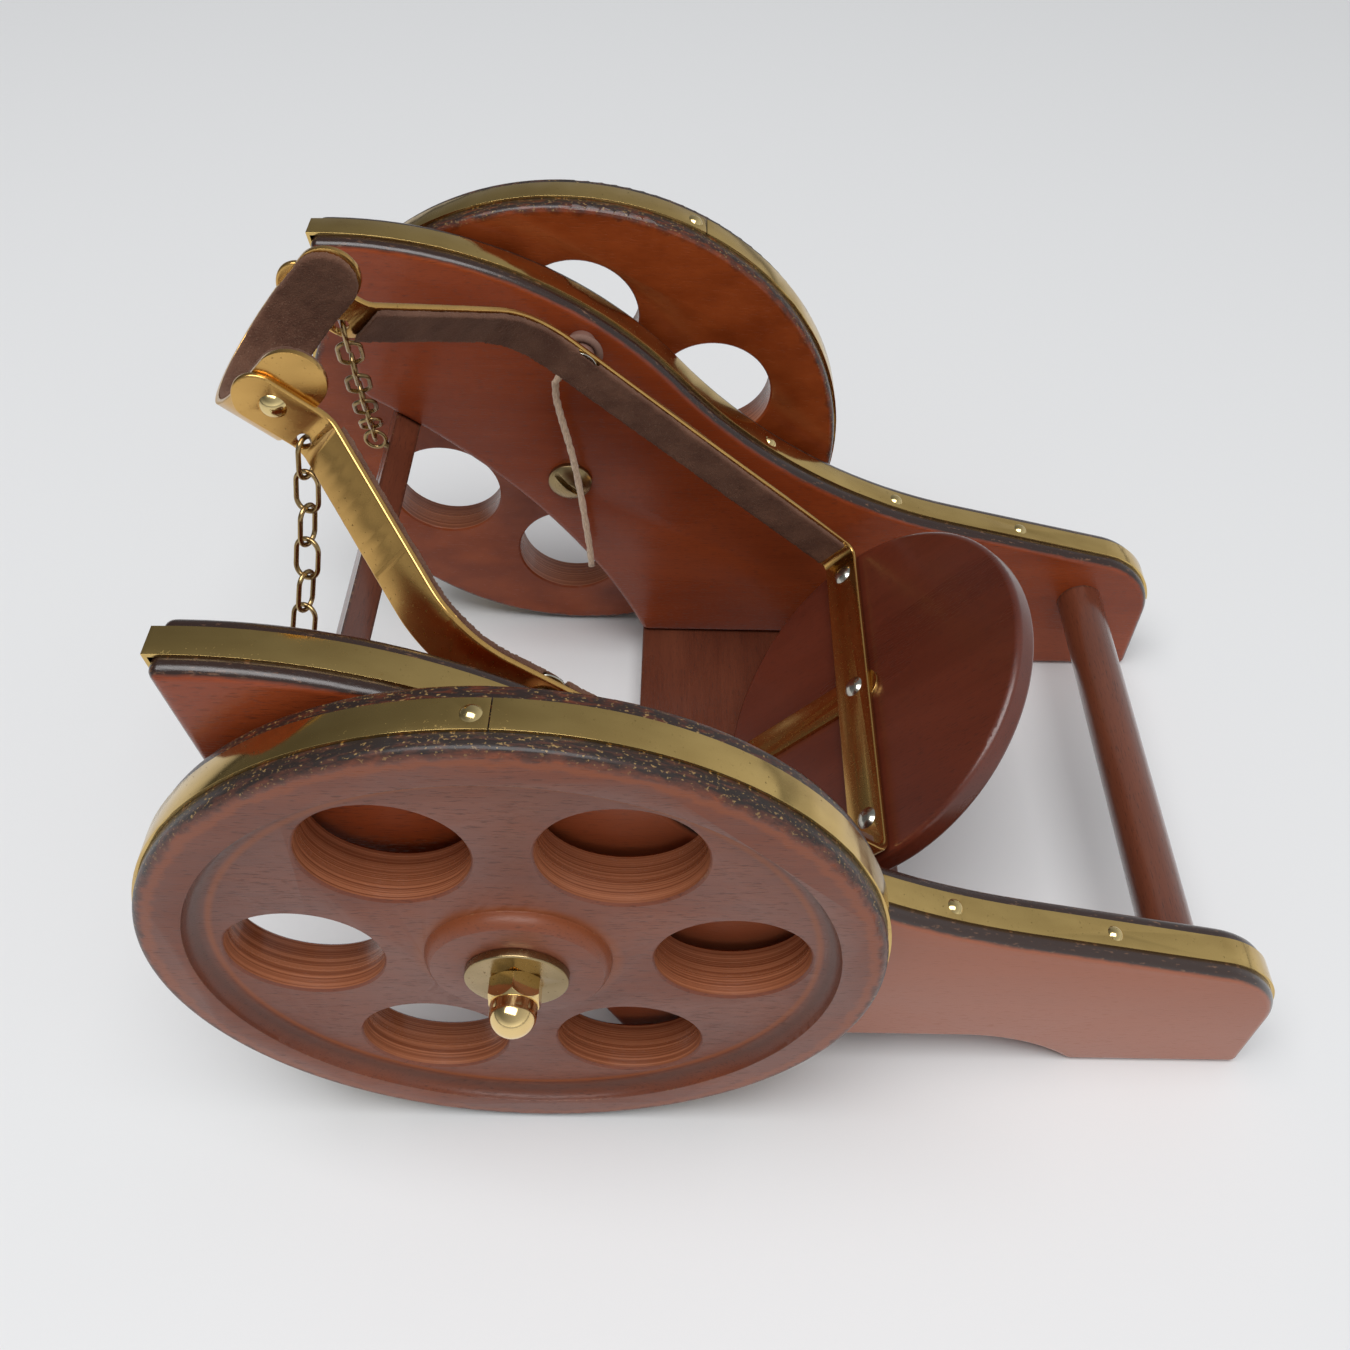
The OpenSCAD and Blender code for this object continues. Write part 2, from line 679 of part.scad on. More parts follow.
module neck_band() {
    color("goldenrod") in_cradle() translate([0, -neck_off, 0]) difference() {
        neck_shape(neck_r - neck_t, neck_r, neck_up);
        translate([-rivet_s, -neck_r - 1, 0]) along_y() cylinder(h = 2 * neck_r + 2, r = rivet_r + fit_gap);
    }
}

module neck_rivets() {
    color("gold") in_cradle()
        for (side = [-1, 1])
            on_side(side) translate([-rivet_s, arm_end_y(side) + arm_t / 2, 0]) along_y()
                round_pin(2.6, 1.4, rivet_r, arm_t + neck_t);
}

module neck_lining() {
    color("dimgray") in_cradle() translate([0, -neck_off, 0])
        neck_shape(neck_r - neck_t - suede_t, neck_r - neck_t, neck_up - 0.8);
}

// ---- suede on the inner faces of the arms ----
lining_w = arm_w - 0.8;
lining_from = 1;             // the lining starts this far after the first bend
lining_stop = 4;             // and stops this many degrees before the end of the last one
lining_skin = 0.4;           // suede left over the trunnion's head
module arm_lining(side) {
    foot = arm_foot(side) + lining_from * dir(90 - splay(side));
    steps = [
        [arm_straight(side) - lining_from, 0], [s_bend_r, s_turn(side) + splay(side)],
        [s_straight(side), 0], [s_bend_r, lining_stop - s_turn(side)]
    ];
    color("dimgray") in_cradle() on_side(side) difference() {
        across_arm(lining_w)
            ribbon([foot.x, foot.y, 90 - splay(side)], steps, arm_t / 2, arm_t / 2 + suede_t);
        translate([-pivot_s, pivot_y(side), 0]) rotate([0, 0, -splay(side)])
            translate([0, lining_skin - arm_t / 2 - suede_t, 0]) along_y() cylinder(h = 10, r = 5.2);
    }
}
module left_arm_lining() { arm_lining(-1); }
module right_arm_lining() { arm_lining(1); }

// ---- chains and their eyes ----
eye_wire_r = 0.5;
eye_shank_r = 0.8;
eye_shank_l = 4;
eye_y = 49;
eye_lift = eye_r + eye_wire_r + 0.2;
eye_foot = slat_top - slat_t / 2 * slat_up;
eye_place = eye_foot - eye_lift * slat_run;

module eye_frame(side) {
    translate([eye_foot.x, side * eye_y, eye_foot.y])
        rotate([0, atan2(-slat_run.x, -slat_run.y), 0]) children();
}

module chain_eye(side) {
    color("goldenrod") in_frame() eye_frame(side) {
        translate([0, 0, eye_lift]) rotate([90, 0, 0]) rotate_extrude($fn = 64)
            translate([eye_r, 0]) circle(eye_wire_r, $fn = 24);
        translate([0, 0, -eye_shank_l]) cylinder(h = eye_shank_l + eye_lift - eye_r, r = eye_shank_r, $fn = 32);
    }
}
module left_chain_eye() { chain_eye(-1); }
module right_chain_eye() { chain_eye(1); }

// A chain runs from the hole in the arm to the eye, in an upright plane. Its links turn little
// by little from steep to slanting, and their length follows from the distance.
link_gap = 0.1;
link_turn = 2.2;
eye_top = [eye_place.x, eye_y, eye_place.y + eye_r];
function chain_top(side) = cradle_point(chain_hole_s, arm_end_y(side), chain_hole_t);
function chain_span(side) =
    let (reach = eye_top - chain_top(side))
    reach + (eye_wire_r + link_wire / 2 + link_gap) * unit(reach);
function chain_way(side) = unit([chain_span(side).x, chain_span(side).y, 0]);
function chain_lean(side) =
    atan2(norm([chain_span(side).x, chain_span(side).y]), -chain_span(side).z);
function link_swing(i) = link_turn * (i - (link_count - 1) / 2);
function link_along(side, i) =
    let (lean = chain_lean(side) + link_swing(i)) sin(lean) * chain_way(side) - [0, 0, cos(lean)];
function total(v, i = 0) = i == len(v) ? 0 : v[i] + total(v, i + 1);
chain_share = total([for (i = [0 : link_count - 1]) cos(link_swing(i))]);
function link_pitch(side) = (norm(chain_span(side)) - link_wire - link_gap) / chain_share;
function link_start(side, i) =
    i == 0
    ? chain_top(side) + (link_wire + link_gap) / 2 * unit(chain_span(side))
    : link_start(side, i - 1) + link_pitch(side) * link_along(side, i - 1);

// One oval link, along x and flat in x and y
module link(pitch) {
    bow_r = (link_w - link_wire) / 2;
    half = round(1000 * ((pitch + link_wire + link_gap) / 2 - bow_r)) / 1000;
    for (end = [0, 180])
        rotate([0, 0, end]) {
            translate([half, 0, 0]) rotate([0, 0, -90]) rotate_extrude(angle = 180, $fn = 48)
                translate([bow_r, 0]) circle(link_wire / 2, $fn = 24);
            translate([-half, bow_r, 0]) rotate([0, 90, 0]) cylinder(h = 2 * half, r = link_wire / 2, $fn = 24);
        }
}

module chain(side) {
    heading = atan2(chain_way(side).y, chain_way(side).x);
    pitch = link_pitch(side);
    color("goldenrod") in_frame() on_side(side)
        for (i = [0 : link_count - 1])
            translate(link_start(side, i) + pitch / 2 * link_along(side, i))
                rotate([0, 0, heading]) rotate([0, 90 - chain_lean(side) - link_swing(i), 0])
                    rotate([i % 2 == 0 ? 90 : 0, 0, 0]) link(pitch);
}
module left_chain() { chain(-1); }
module right_chain() { chain(1); }

// ---- twine that hangs from the right trunnion ----
twine_r = 1;
twine_y = 54.6;
twine_points = [
    [5.3, 115.8], [4.2, 112], [2.6, 108], [1.2, 103], [0.5, 97], [0.4, 91], [0.8, 85],
    [1.4, 79], [2.1, 73], [2.8, 67], [3.5, 61], [4.1, 55], [4.6, 49], [4.8, 46]
];
module twine_loop() {
    color("tan") at_pivot(1, twine_y) rotate_extrude()
        translate([spacer_out_r + twine_r + fit_gap, 0]) circle(twine_r, $fn = 24);
}

module twine() {
    sides = 8;
    count = len(twine_points);
    function heading(i) =
        let (a = twine_points[max(i - 1, 0)], b = twine_points[min(i + 1, count - 1)]) unit(b - a);
    rings = [for (i = [0 : count - 1]) let (n = across(heading(i)))
        for (k = [0 : sides - 1]) let (u = twine_r * cos(360 / sides * k), v = twine_r * sin(360 / sides * k))
            [twine_points[i].x + u * n.x, twine_y + v, twine_points[i].y + u * n.y]];
    walls = [for (i = [0 : count - 2]) for (k = [0 : sides - 1]) let (m = (k + 1) % sides)
        [i * sides + k, i * sides + m, (i + 1) * sides + m, (i + 1) * sides + k]];
    color("tan") in_frame() polyhedron(points = rings, faces = concat(
        [[for (k = [sides - 1 : -1 : 0]) k]],
        walls,
        [[for (k = [0 : sides - 1]) (count - 1) * sides + k]]));
}

left_cheek();
right_cheek();
left_cheek_band();
right_cheek_band();
left_band_pins();
right_band_pins();
front_slat();
base_board();
rear_dowel();
left_axle_bolt();
right_axle_bolt();
left_spacer_washer();
right_spacer_washer();
left_axle_washer();
right_axle_washer();
left_axle_nut();
right_axle_nut();
left_trunnion_screw();
right_trunnion_screw();
left_trunnion_spacer();
right_trunnion_spacer();
left_chain_eye();
right_chain_eye();
left_chain();
right_chain();
twine_loop();
twine();
left_wheel();
right_wheel();
left_tyre();
right_tyre();
left_tyre_pin();
right_tyre_pin();
cradle_disc();
cradle_strap();
strap_screws();
lower_strap();
neck_band();
neck_rivets();
neck_lining();
left_arm_lining();
right_arm_lining();
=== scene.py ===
"""A bottle cradle built like a field-gun carriage, finished piece by piece.

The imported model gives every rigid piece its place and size. This script follows the object as
it is put together and gives each piece its worked edges, its stain, its polish or its nap.
"""

import math

import bmesh
import bpy
from mathutils import Matrix, Vector, noise


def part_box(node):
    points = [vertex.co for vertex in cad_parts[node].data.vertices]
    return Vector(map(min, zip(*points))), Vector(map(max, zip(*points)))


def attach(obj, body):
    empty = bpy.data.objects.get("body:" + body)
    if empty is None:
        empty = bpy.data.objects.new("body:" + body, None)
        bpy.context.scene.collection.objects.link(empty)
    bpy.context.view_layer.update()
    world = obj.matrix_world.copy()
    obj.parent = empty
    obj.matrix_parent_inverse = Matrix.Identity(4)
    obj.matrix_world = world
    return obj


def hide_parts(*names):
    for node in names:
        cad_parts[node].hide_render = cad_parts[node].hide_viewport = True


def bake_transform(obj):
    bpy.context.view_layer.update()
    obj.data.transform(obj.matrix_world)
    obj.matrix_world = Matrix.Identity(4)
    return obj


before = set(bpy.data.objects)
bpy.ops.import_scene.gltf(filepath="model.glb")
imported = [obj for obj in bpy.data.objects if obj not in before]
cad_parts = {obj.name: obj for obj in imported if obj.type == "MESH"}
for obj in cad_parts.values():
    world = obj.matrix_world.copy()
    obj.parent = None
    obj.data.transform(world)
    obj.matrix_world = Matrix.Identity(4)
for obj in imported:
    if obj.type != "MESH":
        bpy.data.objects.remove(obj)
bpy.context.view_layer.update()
MM = 0.001

# ---- Studio --------------------------------------------------------------------------------
# A pale table top under a broad ceiling light. The walls are a quiet grey, bright low down in
# front and darkest at the rear left, so that polished brass has something dark to mirror.

camera_place = (-0.0179, -0.2101, 0.3130)
camera_heading, camera_dip, camera_roll = -0.69, 48.04, 1.55  # degrees
camera_data = bpy.data.cameras.new("camera")
camera_data.sensor_width = 36
camera_data.lens = 34.19
camera_data.shift_x = -0.013
camera_data.shift_y = -0.0331
camera = bpy.data.objects.new("camera", camera_data)
camera.matrix_world = (
    Matrix.Translation(camera_place)
    @ Matrix.Rotation(math.radians(camera_heading), 4, "Z")
    @ Matrix.Rotation(math.radians(90 - camera_dip), 4, "X")
    @ Matrix.Rotation(math.radians(camera_roll), 4, "Z")
)
bpy.context.collection.objects.link(camera)
bpy.context.scene.camera = camera
bpy.context.scene.view_settings.view_transform = "Standard"


def fill(tree, node, values):
    """Gives a node's inputs, by name or place, their numbers, colours or sockets."""
    for name, value in values.items():
        if isinstance(value, bpy.types.NodeSocket):
            tree.links.new(value, node.inputs[name])
        else:
            node.inputs[name].default_value = value
    return node


def put(tree, kind, values=None, **settings):
    """A new shader node with its settings, and with values at its inputs."""
    node = tree.nodes.new("ShaderNode" + kind)
    for name, value in settings.items():
        setattr(node, name, value)
    return fill(tree, node, values or {})


def calc(tree, operation, a, b=0.0, clamp=False):
    """One sum on two values."""
    return put(tree, "Math", {0: a, 1: b}, operation=operation, use_clamp=clamp).outputs[0]


def mix(tree, share, a, b):
    """Colour a turning into colour b by share."""
    return put(tree, "Mix", {"Factor": share, 6: a, 7: b}, data_type="RGBA").outputs[2]


def rescale(tree, value, low, high, to_low=0.0, to_high=1.0):
    """value, stretched so that low to high becomes to_low to to_high, and held to that range."""
    values = {"Value": value, 1: low, 2: high, 3: to_low, 4: to_high}
    return put(tree, "MapRange", values).outputs[0]


def dot(tree, a, b):
    """How far vector a points along vector b."""
    return put(tree, "VectorMath", {0: a, 1: b}, operation="DOT_PRODUCT").outputs["Value"]


def cloud(tree, place, stretch, detail=3.0):
    """Noise whose features are about stretch millimetres long in x, y and z."""
    scaled = put(tree, "VectorMath", {0: place, 1: [1 / s for s in stretch]}, operation="MULTIPLY")
    values = {"Vector": scaled.outputs[0], "Scale": 1.0, "Detail": detail, "Roughness": 0.55}
    return put(tree, "TexNoise", values).outputs["Fac"]


def material(name):
    """A new material, its node tree and its surface shader."""
    made = bpy.data.materials.new(name)
    made.use_nodes = True
    return made, made.node_tree, made.node_tree.nodes["Principled BSDF"]


def millimetres(tree, turn=(0, 0, 0), centre=(0, 0, 0)):
    """The piece's own coordinates in millimetres about a centre in metres, turned by angles."""
    place = put(tree, "TexCoord").outputs["Object"]
    moved = put(tree, "VectorMath", {0: place, 1: centre}, operation="SUBTRACT").outputs[0]
    rotate = {"Vector": moved, "Rotation": turn}
    turned = put(tree, "VectorRotate", rotate, rotation_type="EULER_XYZ").outputs[0]
    return put(tree, "VectorMath", {0: turned, "Scale": 1 / MM}, operation="SCALE").outputs[0]


def emboss(tree, surface, height, strength, depth):
    """Raises and sinks a surface a little by a height, with depth in millimetres."""
    bump = put(tree, "Bump", {"Height": height, "Strength": strength, "Distance": depth * MM})
    tree.links.new(bump.outputs[0], surface.inputs["Normal"])


table_paint, tree, surface = material("table_paint")
fill(tree, surface, {
    "Base Color": (0.79, 0.79, 0.79, 1), "Roughness": 0.45, "Specular IOR Level": 0.35,
})
emboss(tree, surface, cloud(tree, millimetres(tree), (1.2, 1.2, 1.2)), 0.05, 0.3)

shape = bmesh.new()
bmesh.ops.create_grid(shape, x_segments=1, y_segments=1, size=4)
floor_mesh = bpy.data.meshes.new("floor")
shape.to_mesh(floor_mesh)
shape.free()
floor_mesh.materials.append(table_paint)
floor = bpy.data.objects.new("floor", floor_mesh)
bpy.context.collection.objects.link(floor)

wall_dim, wall_bright, wall_top = 0.13, 0.70, 0.55
front_bright, table_edge_dark = 0.5, 0.35
world = bpy.data.worlds.new("room")
world.use_nodes = True
tree = world.node_tree
look = put(tree, "TexCoord").outputs["Generated"]
height = put(tree, "SeparateXYZ", {0: look}).outputs["Z"]
toward_side = dot(tree, look, (0.95, -0.3, 0))
toward_front = dot(tree, look, (-0.2, -0.98, 0))
glow = rescale(tree, toward_side, -0.9, 0.7, wall_dim, wall_bright)
glow = calc(tree, "MULTIPLY", glow, rescale(tree, height, 0, 1, 1, wall_top))
low_front = rescale(tree, toward_front, 0.1, 0.9, 0, front_bright)
low_front = calc(tree, "MULTIPLY", low_front, rescale(tree, height, 0.1, 0.45, 1, 0))
glow = calc(tree, "ADD", glow, low_front)
glow = calc(tree, "MULTIPLY", glow, rescale(tree, height, 0.03, 0.06, table_edge_dark, 1))
fill(tree, tree.nodes["Background"], {"Strength": glow, "Color": (0.94, 0.97, 1.0, 1)})
bpy.context.scene.world = world

ceiling_light = bpy.data.lights.new("ceiling", "AREA")
ceiling_light.shape = "RECTANGLE"
ceiling_light.size, ceiling_light.size_y = 2.0, 1.1
ceiling_light.energy = 37
ceiling_light.color = (0.985, 0.99, 1.0)
ceiling = bpy.data.objects.new("ceiling", ceiling_light)
ceiling.location = (-0.2, -0.38, 2.0)
under_it = Vector((-0.1, 0.0, 0))
ceiling.rotation_euler = (under_it - ceiling.location).to_track_quat("-Z", "Y").to_euler()
bpy.context.collection.objects.link(ceiling)

# ---- Twine ---------------------------------------------------------------------------------
# A cut end of two-ply natural twine, looped round the spacer of the right trunnion. It hangs
# down in front of the cheek's inner face, and its two strands twist round each other.

right_wheel_low, right_wheel_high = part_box("right_wheel")
axle_x = (right_wheel_low.x + right_wheel_high.x) / 2
axle_z = (right_wheel_low.z + right_wheel_high.z) / 2
twine_low, twine_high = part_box("twine")
twine_y = (twine_low.y + twine_high.y) / 2
twine_twists = 0.16  # turns in a millimetre
twine_route = [
    (5.3, 115.8), (2.4, 115.9), (0, 114.6), (-1.6, 112), (-1.7, 107), (-0.8, 101), (0.3, 95),
    (1.5, 88), (2.5, 80), (3.4, 71), (4.1, 62), (4.7, 54), (5.0, 46.2),
]
twine_line = [Vector((axle_x + x * MM, twine_y, z * MM)) for x, z in twine_route]


def new_piece(name, shape, body, slot, *materials):
    """Makes a finished bmesh an object that rides on a body, with its materials. Its slot is not
    used.
    """
    mesh = bpy.data.meshes.new(name)
    shape.to_mesh(mesh)
    shape.free()
    mesh.shade_smooth()
    for finish in materials:
        mesh.materials.append(finish)
    piece = bpy.data.objects.new(name, mesh)
    bpy.context.collection.objects.link(piece)
    if body:
        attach(piece, body)
    return piece


def rope(shape, line, thick, twists, sides=20, steps=4):
    """A closed two-ply rope along a line: its cross-section is two lobes that turn as it goes."""
    waist = 0.72
    fine = []
    for a, b in zip(line, line[1:]):
        fine += [a.lerp(b, i / steps) for i in range(steps)]
    fine.append(line[-1])
    rings = []
    gone = 0.0
    for i, point in enumerate(fine):
        ahead = (fine[min(i + 1, len(fine) - 1)] - fine[max(i - 1, 0)]).normalized()
        if i:
            gone += (point - fine[i - 1]).length / MM
        side = ahead.cross(Vector((0, 1, 0))).normalized()
        up = ahead.cross(side)
        ring = []
        for k in range(sides):
            angle = math.tau * k / sides
            lobe = waist + (1 - waist) * abs(math.cos(angle))
            turned = angle + math.tau * twists * gone
            offset = (side * math.cos(turned) + up * math.sin(turned)) * thick / 2 * lobe
            ring.append(shape.verts.new(point + offset))
        rings.append(ring)
    for a, b in zip(rings, rings[1:]):
        ends = [(ring[k], ring[(k + 1) % sides]) for ring in (a, b) for k in range(sides)]
        edges = [shape.edges.get(pair) or shape.edges.new(pair) for pair in ends]
        bmesh.ops.bridge_loops(shape, edges=edges)
    for ring in (rings[0], rings[-1]):
        shape.faces.new(ring)
    bmesh.ops.recalc_face_normals(shape, faces=shape.faces)


twine_fibre, tree, surface = material("twine_fibre")
place = millimetres(tree)
strands = cloud(tree, place, (0.25, 0.25, 1.6))
tint = mix(tree, rescale(tree, strands, 0.35, 0.65), (0.50, 0.34, 0.22, 1), (0.82, 0.63, 0.45, 1))
emboss(tree, surface, strands, 0.5, 0.3)
fill(tree, surface, {"Base Color": tint, "Roughness": 0.85, "Sheen Weight": 0.3})

shape = bmesh.new()
rope(shape, twine_line, 2 * MM, twine_twists)
twine = new_piece("hanging_twine", shape, "carriage", "twine", twine_fibre)
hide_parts("twine")

# ---- Carriage ------------------------------------------------------------------------------
# Two shaped cheeks of hardwood stand upright, joined by a slat across the front, a board
# underneath and a dowel at the rear. All are stained red-brown, darkest in the flecks of the
# grain and on the sanded edges, and given a satin lacquer.


def group(name, inputs, outputs):
    """A shader node group, what comes in through its named sockets, and its output node."""
    made = bpy.data.node_groups.new(name, "ShaderNodeTree")
    for side, sockets in (("INPUT", inputs), ("OUTPUT", outputs)):
        for label, kind in sockets.items():
            made.interface.new_socket(label, in_out=side, socket_type="NodeSocket" + kind)
    return made, made.nodes.new("NodeGroupInput").outputs, made.nodes.new("NodeGroupOutput")


grain, given, result = group(
    "wood_grain",
    {"Place": "Vector", "Light": "Color", "Dark": "Color", "Fleck": "Color"},
    {"Color": "Color", "Roughness": "Float", "Height": "Float"},
)
broad = cloud(grain, given["Place"], (95, 26, 26), detail=2)
streaks = cloud(grain, given["Place"], (30, 2.4, 2.4), detail=4)
dashes = cloud(grain, given["Place"], (2.6, 0.34, 0.34), detail=2)
fine = cloud(grain, given["Place"], (11, 0.22, 0.22), detail=2)
tone = calc(grain, "MULTIPLY", broad, 0.78)
tone = calc(grain, "ADD", tone, calc(grain, "MULTIPLY", streaks, 0.22))
tone = calc(grain, "ADD", tone, calc(grain, "MULTIPLY", calc(grain, "SUBTRACT", fine, 0.5), 0.30))
stain = mix(grain, rescale(grain, tone, 0.34, 0.66), given["Dark"], given["Light"])
flecks = rescale(grain, dashes, 0.56, 0.70)
stain = mix(grain, calc(grain, "MULTIPLY", flecks, 0.55), stain, given["Fleck"])
gloss = calc(grain, "MULTIPLY", broad, 0.20)
gloss = calc(grain, "ADD", gloss, calc(grain, "MULTIPLY", flecks, 0.12))
pores = calc(grain, "SUBTRACT", calc(grain, "MULTIPLY", fine, 0.5), flecks)
fill(grain, result, {"Color": stain, "Roughness": gloss, "Height": pores})

edge_and_chips, given, result = group(
    "edge_and_chips",
    {"Radius": "Float", "Place": "Vector"},
    {"Edge": "Float", "Bare": "Float"},
)
round_normal = put(edge_and_chips, "Bevel", {"Radius": given["Radius"]}, samples=6).outputs[0]
true_normal = put(edge_and_chips, "NewGeometry").outputs["Normal"]
turned_away = calc(edge_and_chips, "SUBTRACT", 1.0, dot(edge_and_chips, round_normal, true_normal))
edge = rescale(edge_and_chips, turned_away, 0.01, 0.16)
chips = rescale(edge_and_chips, cloud(edge_and_chips, given["Place"], (1.1, 1.1, 1.1), detail=4), 0.55, 0.68)
bare = calc(edge_and_chips, "MULTIPLY", edge, chips, clamp=True)
fill(edge_and_chips, result, {"Edge": edge, "Bare": bare})


def use(tree, which, values):
    """The outputs of a node group placed in a material, with its own values."""
    return put(tree, "Group", values, node_tree=which).outputs


def wood(name, light, dark, edge_stain_and_sheen, turn=(0, 0, 0), coat=0.5):
    """Stained and lacquered wood with its grain along x, once turned by those angles."""
    made, tree, surface = material(name)
    place = millimetres(tree, turn)
    fleck = [c * 0.45 for c in dark[:3]] + [1]
    board = use(tree, grain, {"Place": place, "Light": light, "Dark": dark, "Fleck": fleck})
    worn = use(tree, edge_and_chips, {"Radius": 1.6 * MM, "Place": place})
    # The edge colour is a dark stain on the cross pieces. On the disc it is paler, a painted
    # highlight along the rounded rim.
    colour = mix(tree, calc(tree, "MULTIPLY", worn["Edge"], 0.9), board["Color"], edge_stain_and_sheen)
    colour = mix(tree, calc(tree, "MULTIPLY", worn["Bare"], 0.45), colour, (0.50, 0.28, 0.12, 1))
    emboss(tree, surface, board["Height"], 0.12, 0.2)
    fill(tree, surface, {
        "Base Color": colour, "Roughness": calc(tree, "ADD", board["Roughness"], 0.18),
        "Coat Weight": coat, "Coat Roughness": 0.18,
    })
    return made


sharp_angle = math.radians(32)
flat_angle = math.radians(0.3)
same_corner = 0.002 * MM
longest_hole = 120 * MM
broad_face = 100 * MM * MM


def weigh_outlines(shape, hole_share):
    """Marks sharp edges for rounding: outlines in full, the short loops round holes by a share."""
    weight = shape.edges.layers.float.new("bevel_weight_edge")
    sharp = {e for e in shape.edges if e.is_manifold and e.calc_face_angle() > sharp_angle}
    while sharp:
        loop = [sharp.pop()]
        for edge in loop:
            joined = {e for corner in edge.verts for e in corner.link_edges} & sharp
            sharp -= joined
            loop += joined
        outline = sum(edge.calc_length() for edge in loop) > longest_hole
        for edge in loop:
            edge[weight] = 1.0 if outline else hole_share


def finished(node, name, body, slot, finish, edge_mm=0.0, rounds=3, hole_share=None):
    """A clean copy of a CAD node with its sharp edges rounded, which stands for it."""
    shape = bmesh.new()
    shape.from_mesh(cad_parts[node].data)
    bmesh.ops.remove_doubles(shape, verts=shape.verts, dist=same_corner)
    bmesh.ops.dissolve_limit(shape, angle_limit=flat_angle, verts=shape.verts, edges=shape.edges)
    if hole_share is not None:
        weigh_outlines(shape, hole_share)
    piece = new_piece(name, shape, body, slot, finish)
    if edge_mm:
        rounding = piece.modifiers.new("rounding", "BEVEL")
        rounding.width = edge_mm * MM
        rounding.segments = rounds
        rounding.limit_method = "ANGLE" if hole_share is None else "WEIGHT"
        rounding.use_clamp_overlap = hole_share is None
        rounding.angle_limit = sharp_angle
        rounding.harden_normals = True
    else:
        piece.data.set_sharp_from_angle(angle=sharp_angle)
        for face in piece.data.polygons:
            face.use_smooth = face.area < broad_face
    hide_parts(node)
    return piece


def axes(tree, vector):
    """The x, y and z of a vector, by letter."""
    return put(tree, "SeparateXYZ", {0: vector}).outputs


def between(tree, value, low, high, soft):
    """1 where value is between low and high, fading out over soft on both sides."""
    above = rescale(tree, value, low - soft, low + soft)
    return calc(tree, "MULTIPLY", above, rescale(tree, value, high - soft, high + soft, 1.0, 0.0))


def both(tree, a, b):
    """Two masks at once."""
    return calc(tree, "MULTIPLY", a, b, clamp=True)


# Millimetres: a cheek's two faces from the middle of the carriage, and how far back its outer
# face starts to pale and is palest. The paleness is painted light from the bright floor; in front,
# behind the wheel, the face keeps its dark colour as painted shade.
cheek_faces = (62, 70)
floor_lit_tail = (-60, 0)

cheek_wood, tree, surface = material("cheek_wood")
place = millimetres(tree)
aim = axes(tree, put(tree, "TexCoord").outputs["Normal"])
outer_face = rescale(tree, calc(tree, "ABSOLUTE", axes(tree, place)["Y"]), *cheek_faces)
outer_face = both(tree, outer_face, rescale(tree, axes(tree, place)["X"], *floor_lit_tail))
board = use(tree, grain, {
    "Place": place, "Light": (0.33, 0.064, 0.017, 1), "Dark": (0.22, 0.038, 0.010, 1),
    "Fleck": (0.08, 0.018, 0.008, 1),
})
# Painted light: the outer face is paled to salmon for the floor's light and sheen, and left dark in
# front as painted shade.
colour = mix(tree, both(tree, outer_face, 0.75), board["Color"], (0.36, 0.110, 0.048, 1))
scuffed = cloud(tree, place, (4.0, 0.9, 4.0), detail=5)
rounded = calc(tree, "SUBTRACT", 1.15, calc(tree, "ABSOLUTE", aim["Y"]))
rounded = calc(tree, "ADD", rounded, calc(tree, "MULTIPLY", scuffed, 0.2))
top_edge = both(tree, rescale(tree, rounded, 0.32, 0.52), rescale(tree, aim["Z"], -0.4, 0.1))
colour = mix(tree, both(tree, top_edge, 0.95), colour, (0.014, 0.009, 0.007, 1))
rubbed = rescale(tree, cloud(tree, place, (2.2, 0.8, 2.2), detail=4), 0.60, 0.72)
rubbed = both(tree, top_edge, rubbed)
colour = mix(tree, both(tree, rubbed, 0.6), colour, (0.26, 0.13, 0.07, 1))
rough = calc(tree, "ADD", board["Roughness"], rescale(tree, outer_face, 0, 1, 0.16, 0.24))
coat = rescale(tree, outer_face, 0, 1, 0.05, 0.4)
coat = calc(tree, "ADD", coat, calc(tree, "MULTIPLY", top_edge, 0.5), clamp=True)
emboss(tree, surface, board["Height"], 0.12, 0.2)
fill(tree, surface, {
    "Base Color": colour, "Roughness": rough, "Coat Weight": coat, "Coat Roughness": 0.22,
    "Specular IOR Level": 0.35,
})
for side in ("left", "right"):
    board = f"{side}_cheek_board"
    finished(f"{side}_cheek", board, "carriage", "carriage_wood", cheek_wood, 2.2, 5, hole_share=0.1)

cross_wood = wood(
    "cross_wood", (0.16, 0.046, 0.022, 1), (0.085, 0.022, 0.011, 1), (0.03, 0.013, 0.009, 1),
    turn=(0, 0, math.radians(90)), coat=1.0,
)
finished("front_slat", "front_slat_board", "carriage", "carriage_wood", cross_wood, 0.6)
finished("base_board", "base_board_plank", "carriage", "carriage_wood", cross_wood, 0.6)
finished("rear_dowel", "rear_dowel_rod", "carriage", "carriage_wood", cross_wood)

# ---- Brass strip ---------------------------------------------------------------------------
# Flat brass strip, rolled and softly polished, runs round each wheel and along the top of each
# cheek. Round-headed brass pins hold it down. It has dulled to a greenish gold.

